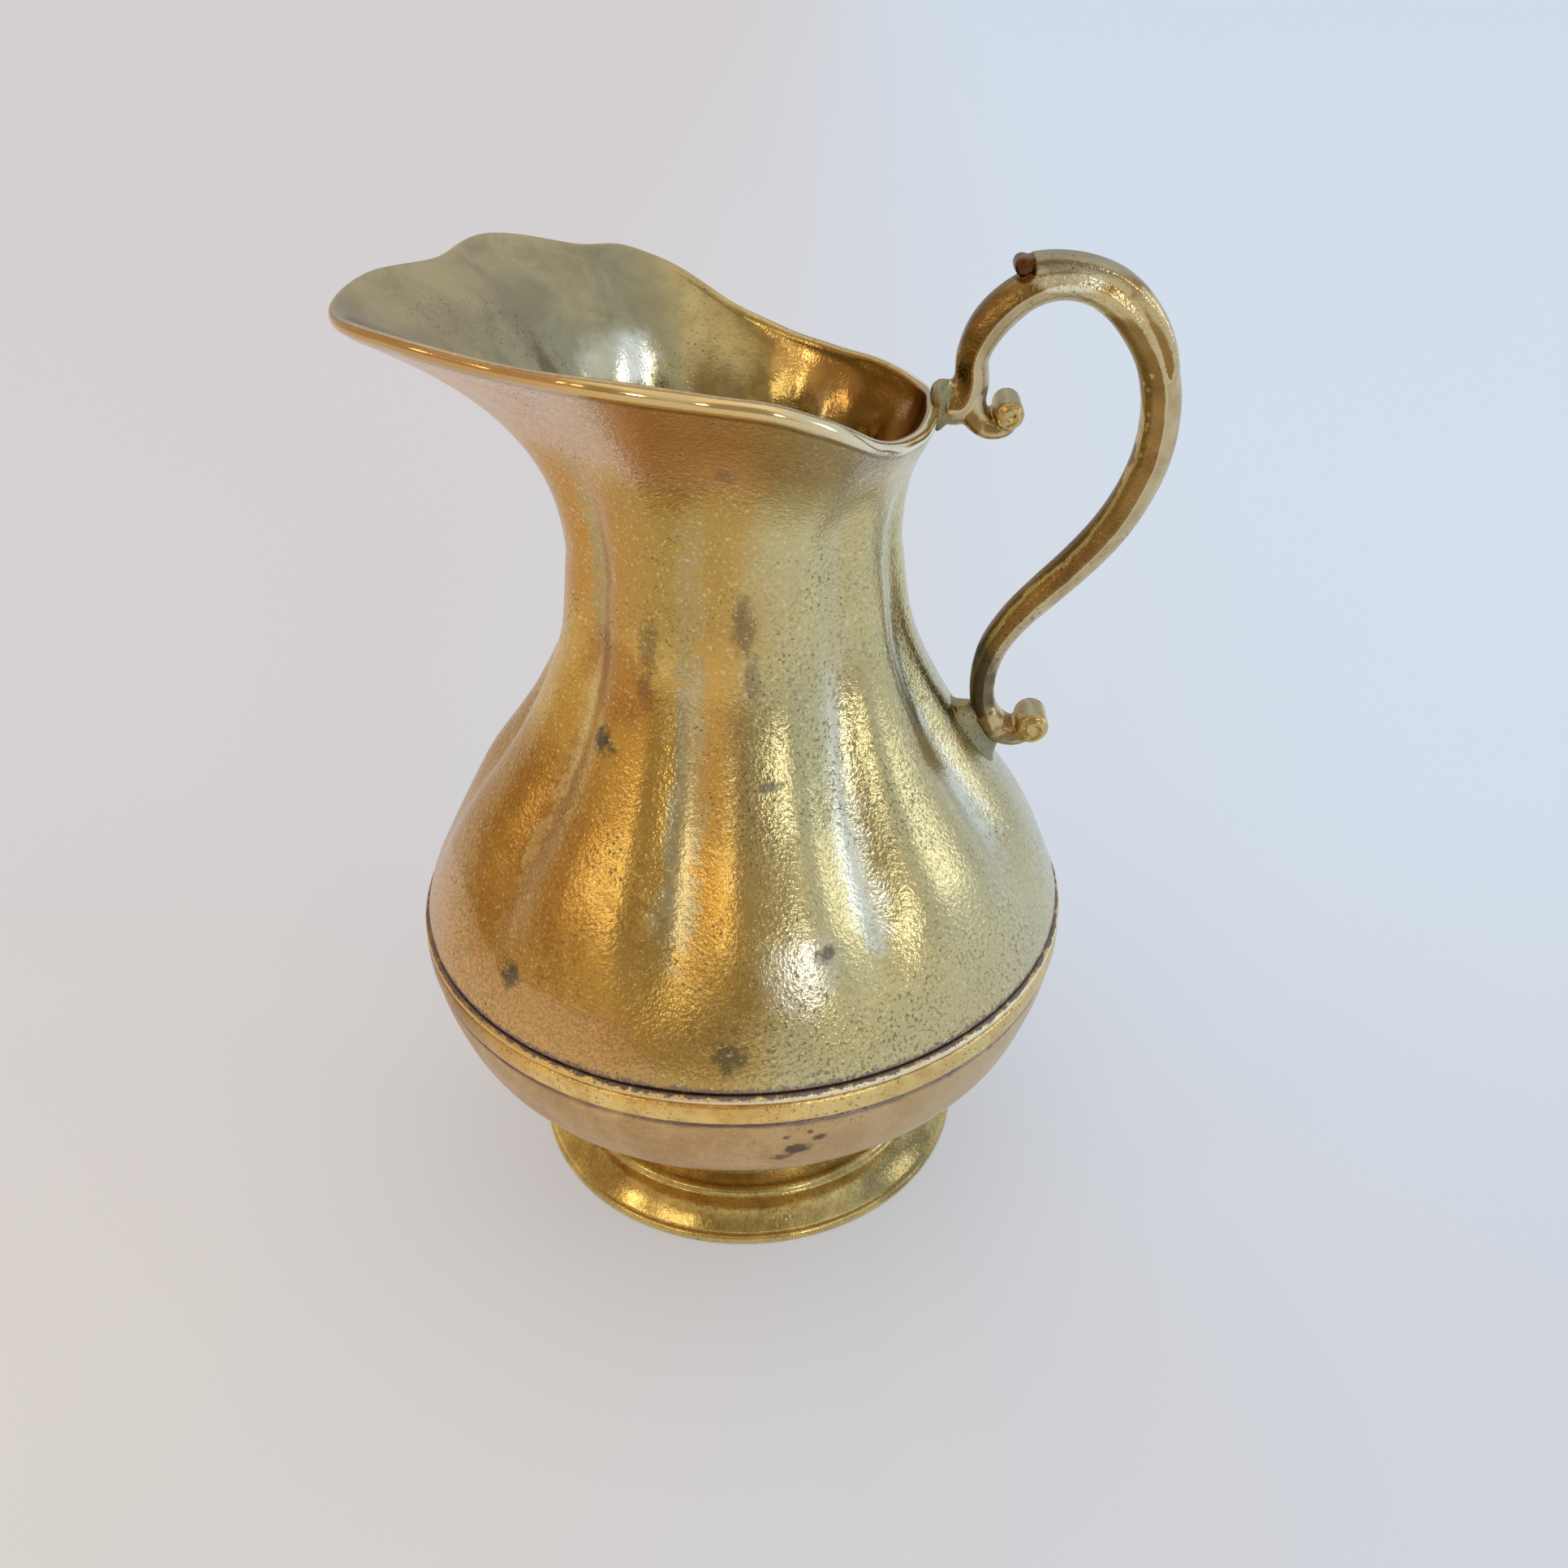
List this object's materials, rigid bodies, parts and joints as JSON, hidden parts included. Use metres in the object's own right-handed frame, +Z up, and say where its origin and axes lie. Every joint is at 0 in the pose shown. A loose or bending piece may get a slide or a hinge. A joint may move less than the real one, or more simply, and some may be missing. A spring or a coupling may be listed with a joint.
{
  "type": "jug",
  "caption": "Footed brass pouring jug: fluted pear-shaped body, wide scalloped spout, girdle band over the belly seam and a cast scroll handle with a thumb rest.",
  "frame": {"origin": "on the surface the jug stands on, under the middle of its whole footprint; the jug's own axis is 7.0 mm from it towards -X", "axes": "+Z up along the jug's axis, +X towards the handle, which lies in the XZ plane; the spout points 20 degrees off -X towards -Y"},
  "size_m": [0.1706, 0.1564, 0.2242],
  "materials": {
    "foot_brass": "worn bright yellow brass, mottled, fine speckled pitting",
    "bowl_brass": "satin, pinkish tan tarnish with a few dark blotches",
    "band_brass": "semi-bright yellow brass with purplish brown grime along both edges",
    "body_brass": "satin cast brass, orange gold to pale greenish yellow, fine pits, dark spots and brown tarnish under the lip",
    "handle_brass": "semi-bright brown gold brass, pitted, grey green patina near the lower end",
    "braze_alloy": "dull rough braze with pale blue green verdigris"
  },
  "bodies": {
    "root": {"foot": "foot_brass", "lower_bowl": "bowl_brass", "girdle_band": "band_brass", "upper_body": "body_brass", "handle": "handle_brass", "rim_braze": "braze_alloy", "shoulder_braze": "braze_alloy"}
  },
  "joints": []
}
